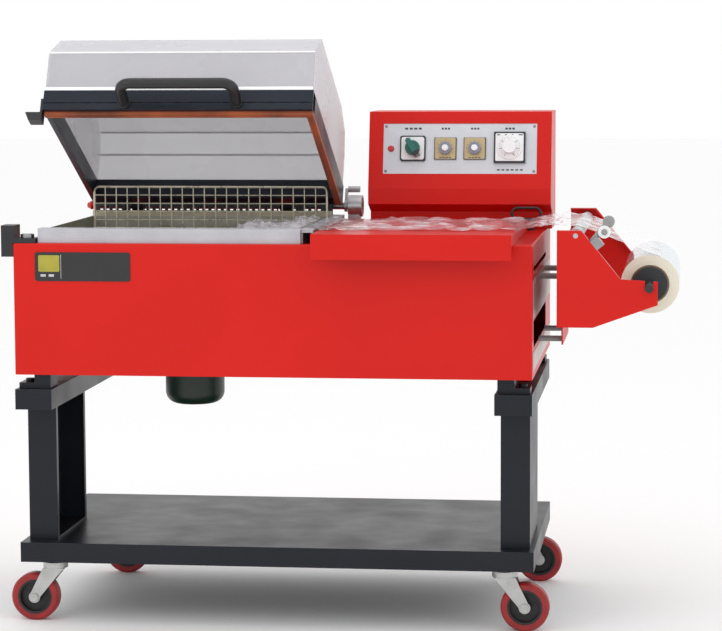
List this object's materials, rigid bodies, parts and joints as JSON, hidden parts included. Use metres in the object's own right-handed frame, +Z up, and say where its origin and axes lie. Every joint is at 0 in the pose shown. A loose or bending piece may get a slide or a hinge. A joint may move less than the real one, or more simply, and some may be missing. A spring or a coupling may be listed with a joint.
{
  "type": "l bar sealer",
  "caption": "Semi-automatic L-bar sealer: red cabinet with a wire-floored shrink chamber, lifting clear hood with sealing bars, sloped control box, sliding tray, film cradle, and caster stand.",
  "frame": {"origin": "on the floor, under the middle of the overall bounding box", "axes": "+X runs to the operator's right along the front, from the magnet lock to the film roll; +Y runs from the front to the back; +Z is up"},
  "size_m": [1.382, 0.71, 1.2065],
  "materials": {
    "body_red": "semi-gloss powder coat",
    "stand_paint": "satin powder coat, blue-black",
    "black_paint": "satin black",
    "zinc": "zinc plated",
    "wheel_red": "polyurethane tread on a black hub",
    "stainless": "brushed stainless sheet",
    "wire": "plated wire",
    "shield": "pale heat shield",
    "aluminium": "satin",
    "bar_black": "black anodised extrusion",
    "seal_cloth": "glass cloth over silicone",
    "steel": "machined",
    "motor_green": "dark green enamel",
    "coil": "varnished laminations and winding",
    "knob_red": "gloss",
    "dome_clear": "clear folded sheet",
    "grip_black": "satin black",
    "knife": "brown insulating strip with a sealing blade",
    "panel": "sparkling silver sheet",
    "bezel": "moulded",
    "lamp": "translucent lens",
    "knob_teal": "gloss",
    "knob_silver": "silver ring and white cap",
    "knob_white": "gloss",
    "film_roll": "wound film on a paper core",
    "film": "clear shrink film",
    "wheel_white": "moulded wheel with pins",
    "plate_black": "printed metal plate, left bare"
  },
  "bodies": {
    "base": {"stand_shelf": "stand_paint", "stand_leg_left": "stand_paint", "stand_leg_right": "stand_paint", "stand_beam_left": "stand_paint", "stand_beam_right": "stand_paint", "beam_clamps": "stand_paint", "caster_stems": "zinc", "body_shell": "body_red", "control_box": "body_red", "cradle_plate_front": "body_red", "cradle_plate_back": "body_red", "cradle_bars": "body_red", "chamber_tub": "stainless", "product_grid": "wire", "mesh_fence": "wire", "chamber_back_panel": "shield", "hinge_rail": "black_paint", "magnet_block": "black_paint", "hinge_brackets": "black_paint", "inverting_rod": "black_paint", "nameplate": "plate_black", "seal_bed": "aluminium", "spring_drum": "aluminium", "seal_pad": "seal_cloth", "electromagnet": "steel", "heater_tubes": "steel", "needle_block": "steel", "blower_motor": "motor_green", "sealing_transformer": "coil", "control_panel": "panel", "control_bezels": "bezel", "pilot_lamp": "lamp", "film_web": "film"},
    "cover": {"hinge_shaft": "steel", "hinge_knob": "knob_red", "cover_front_bar": "bar_black", "cover_frame": "bar_black", "cover_dome": "dome_clear", "cover_handle": "grip_black", "knife_strip": "knife", "armature_arm": "black_paint", "stop_arm": "aluminium"},
    "caster_swivel_front_left": {"caster_fork_front_left": "zinc"},
    "caster_roller_front_left": {"caster_wheel_front_left": "wheel_red"},
    "caster_swivel_front_right": {"caster_fork_front_right": "zinc"},
    "caster_roller_front_right": {"caster_wheel_front_right": "wheel_red"},
    "caster_swivel_rear_left": {"caster_fork_rear_left": "zinc"},
    "caster_roller_rear_left": {"caster_wheel_rear_left": "wheel_red"},
    "caster_swivel_rear_right": {"caster_fork_rear_right": "zinc"},
    "caster_roller_rear_right": {"caster_wheel_rear_right": "wheel_red"},
    "fan": {"fan_rotor": "aluminium"},
    "cam_switch": {"cam_switch_knob": "knob_teal"},
    "timer_left": {"timer_knob_left": "knob_silver"},
    "timer_right": {"timer_knob_right": "knob_silver"},
    "thermostat": {"thermostat_knob": "knob_white"},
    "tray": {"loading_tray": "body_red"},
    "film_spool": {"film_shaft": "steel", "film_roll": "film_roll"},
    "guide_roller": {"film_roller": "aluminium"},
    "pin_wheel": {"needle_wheel": "wheel_white"}
  },
  "joints": [
    {"name": "cover_hinge", "type": "hinge", "parent": "base", "child": "cover", "pos_m": [-0.329, 0.24, 0.8415], "axis": [1, 0, 0], "range_deg": [0, 26], "stiffness_Nm_per_rad": 15.122, "springref_deg": -57.3},
    {"name": "caster_swivel_front_left", "type": "hinge", "parent": "base", "child": "caster_swivel_front_left", "pos_m": [-0.599, -0.22, 0.112], "axis": [0, 0, 1], "continuous": true},
    {"name": "caster_spin_front_left", "type": "hinge", "parent": "caster_swivel_front_left", "child": "caster_roller_front_left", "pos_m": [-0.641, -0.22, 0.05], "axis": [0, 1, 0], "continuous": true},
    {"name": "caster_swivel_front_right", "type": "hinge", "parent": "base", "child": "caster_swivel_front_right", "pos_m": [0.341, -0.22, 0.112], "axis": [0, 0, 1], "continuous": true},
    {"name": "caster_spin_front_right", "type": "hinge", "parent": "caster_swivel_front_right", "child": "caster_roller_front_right", "pos_m": [0.383, -0.22, 0.05], "axis": [0, 1, 0], "continuous": true},
    {"name": "caster_swivel_rear_left", "type": "hinge", "parent": "base", "child": "caster_swivel_rear_left", "pos_m": [-0.599, 0.288, 0.112], "axis": [0, 0, 1], "continuous": true},
    {"name": "caster_spin_rear_left", "type": "hinge", "parent": "caster_swivel_rear_left", "child": "caster_roller_rear_left", "pos_m": [-0.557, 0.288, 0.05], "axis": [0, 1, 0], "continuous": true},
    {"name": "caster_swivel_rear_right", "type": "hinge", "parent": "base", "child": "caster_swivel_rear_right", "pos_m": [0.341, 0.288, 0.112], "axis": [0, 0, 1], "continuous": true},
    {"name": "caster_spin_rear_right", "type": "hinge", "parent": "caster_swivel_rear_right", "child": "caster_roller_rear_right", "pos_m": [0.383, 0.288, 0.05], "axis": [0, 1, 0], "continuous": true},
    {"name": "fan_spin", "type": "hinge", "parent": "base", "child": "fan", "pos_m": [-0.34, -0.005, 0.65], "axis": [0, 0, 1], "continuous": true},
    {"name": "cam_switch_turn", "type": "hinge", "parent": "base", "child": "cam_switch", "pos_m": [0.1105, 0.18669, 0.97], "axis": [0, -0.9748, 0.2231], "range_deg": [-90, 60]},
    {"name": "timer_left_turn", "type": "hinge", "parent": "base", "child": "timer_left", "pos_m": [0.1815, 0.18669, 0.97], "axis": [0, -0.9748, 0.2231], "range_deg": [-150, 150]},
    {"name": "timer_right_turn", "type": "hinge", "parent": "base", "child": "timer_right", "pos_m": [0.2455, 0.18669, 0.97], "axis": [0, -0.9748, 0.2231], "range_deg": [-150, 150]},
    {"name": "thermostat_turn", "type": "hinge", "parent": "base", "child": "thermostat", "pos_m": [0.3215, 0.18713, 0.97195], "axis": [0, -0.9748, 0.2231], "range_deg": [-150, 150]},
    {"name": "tray_slide", "type": "slide", "parent": "base", "child": "tray", "axis": [0, 1, 0], "range_m": [-0.12, 0.015]},
    {"name": "film_spool_spin", "type": "hinge", "parent": "base", "child": "film_spool", "pos_m": [0.632, 0.005, 0.711], "axis": [0, 1, 0], "continuous": true},
    {"name": "guide_roller_spin", "type": "hinge", "parent": "base", "child": "guide_roller", "pos_m": [0.486, 0.005, 0.815], "axis": [0, 1, 0], "continuous": true},
    {"name": "pin_wheel_spin", "type": "hinge", "parent": "base", "child": "pin_wheel", "pos_m": [0.54294, -0.282, 0.82238], "axis": [0, 1, 0], "continuous": true}
  ]
}
